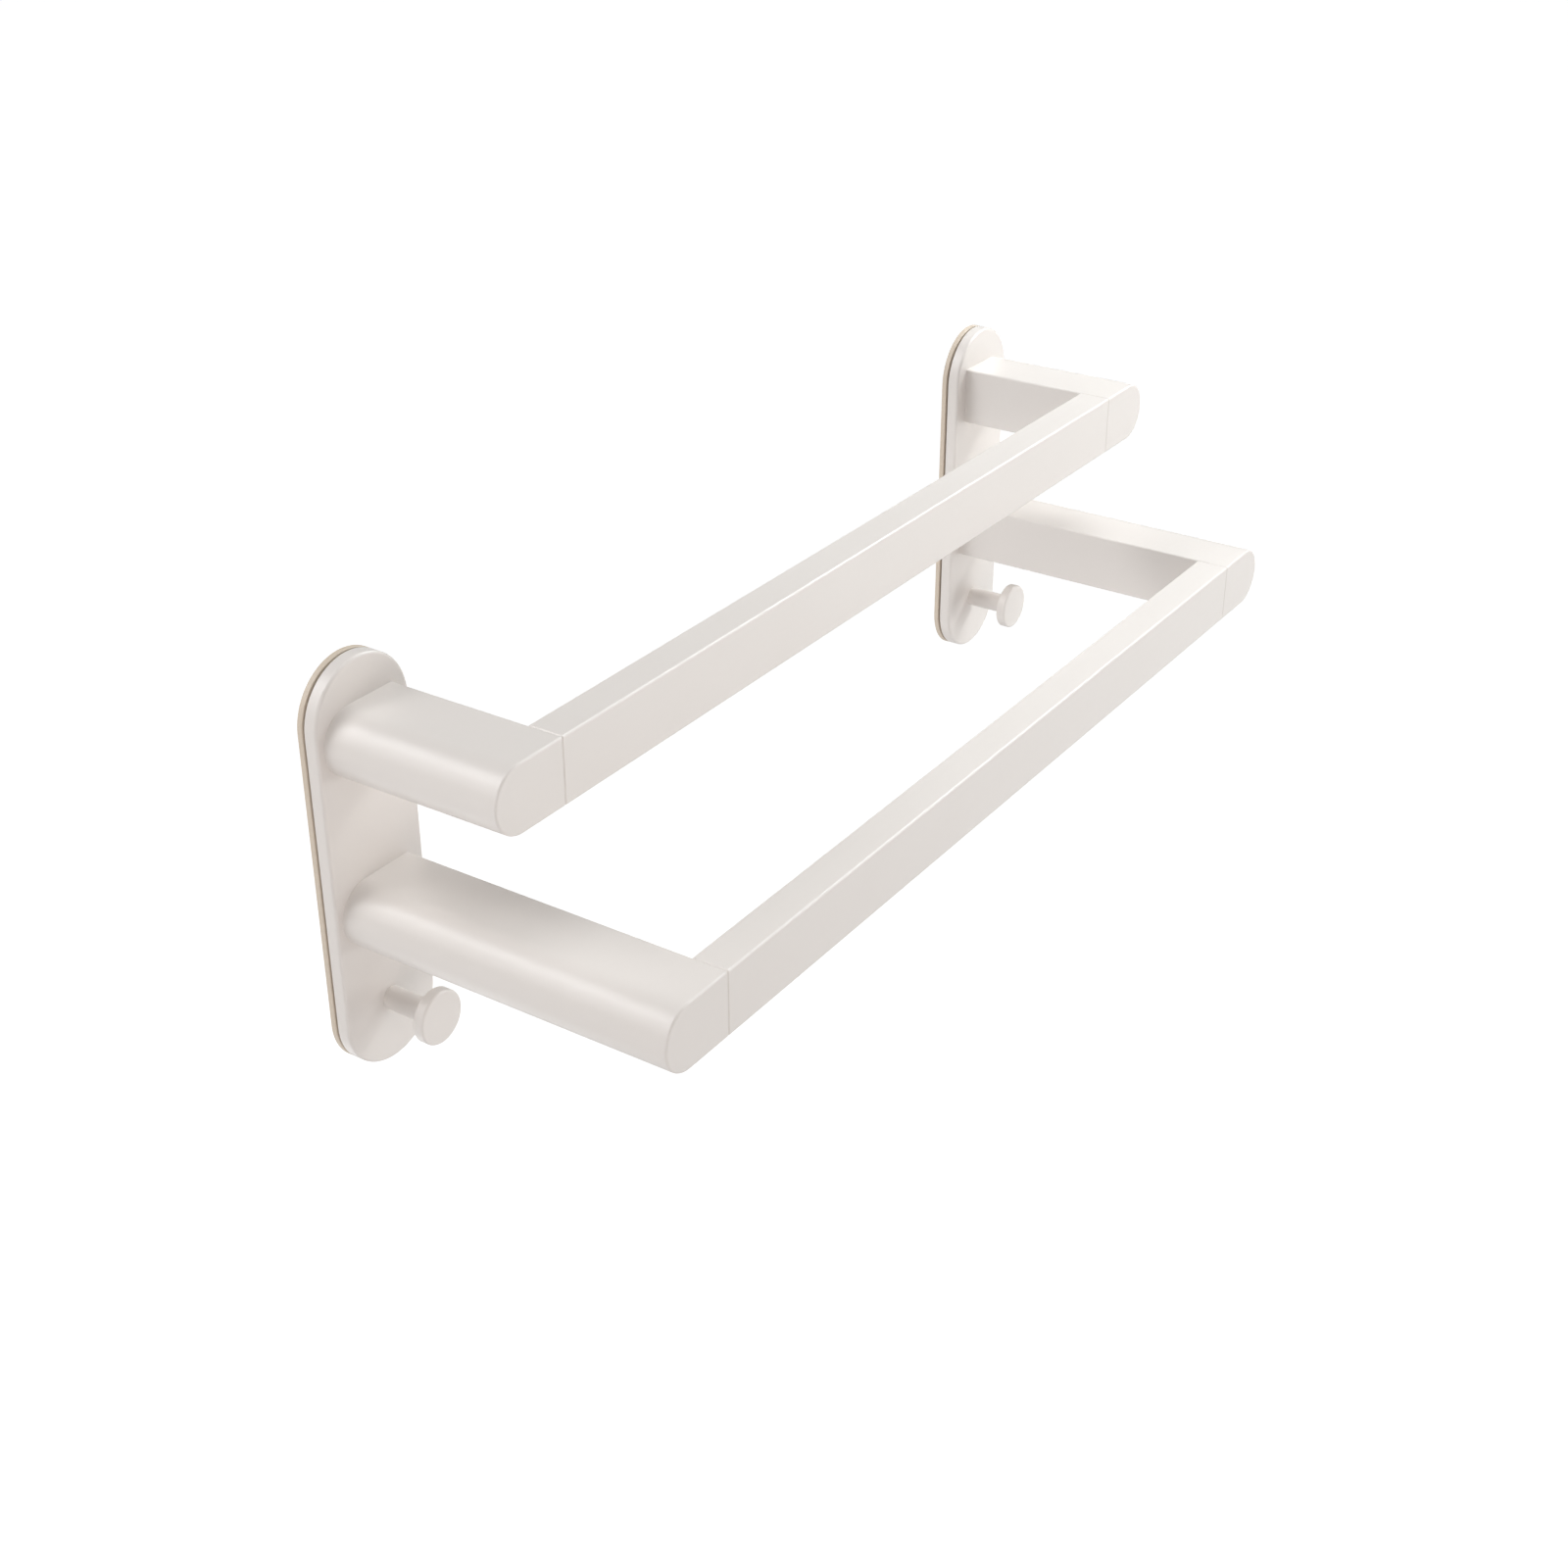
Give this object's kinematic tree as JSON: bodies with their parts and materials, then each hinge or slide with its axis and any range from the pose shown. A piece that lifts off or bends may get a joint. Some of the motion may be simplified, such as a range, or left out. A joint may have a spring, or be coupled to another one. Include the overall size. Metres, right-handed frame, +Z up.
{
  "type": "wall towel rack",
  "caption": "Stepped wall towel rack: flat rails at different heights on rounded arms, carried by upright round-ended plates with peg hooks, hung on screwed wall brackets.",
  "frame": {"origin": "on the wall plane, midway between the wall brackets and at half their height, the centre of the wall screw pattern", "axes": "+X along the rails, -Y from the wall into the room, +Z up"},
  "size_m": [0.5, 0.156, 0.172],
  "materials": {
    "powder_coat": "satin",
    "bracket_coat": "satin",
    "liner": "matte",
    "zinc_steel": "satin",
    "dark_steel": "satin",
    "bare_aluminium": "satin"
  },
  "bodies": {
    "wall_brackets": {"left_wall_bracket": "bracket_coat", "right_wall_bracket": "bracket_coat", "left_bracket_liner": "liner", "right_bracket_liner": "liner", "left_hanger_cleat": "zinc_steel", "right_hanger_cleat": "zinc_steel", "left_lock_tab": "zinc_steel", "right_lock_tab": "zinc_steel", "hanger_screws": "zinc_steel", "lock_tab_screws": "zinc_steel"},
    "rack": {"left_base_plate": "powder_coat", "right_base_plate": "powder_coat", "left_upper_arm": "powder_coat", "left_lower_arm": "powder_coat", "right_upper_arm": "powder_coat", "right_lower_arm": "powder_coat", "arm_screws": "zinc_steel", "upper_rail": "powder_coat", "lower_rail": "powder_coat", "left_upper_joiner": "bare_aluminium", "left_lower_joiner": "bare_aluminium", "right_upper_joiner": "bare_aluminium", "right_lower_joiner": "bare_aluminium", "joiner_screws": "zinc_steel", "rail_grub_screws": "dark_steel", "left_hook": "powder_coat", "right_hook": "powder_coat", "hook_screws": "zinc_steel", "lock_grub_screws": "dark_steel"}
  },
  "joints": [
    {"name": "rack_lift", "type": "slide", "parent": "wall_brackets", "child": "rack", "axis": [0, 0, 1], "range_m": [0, 0.0042]}
  ]
}
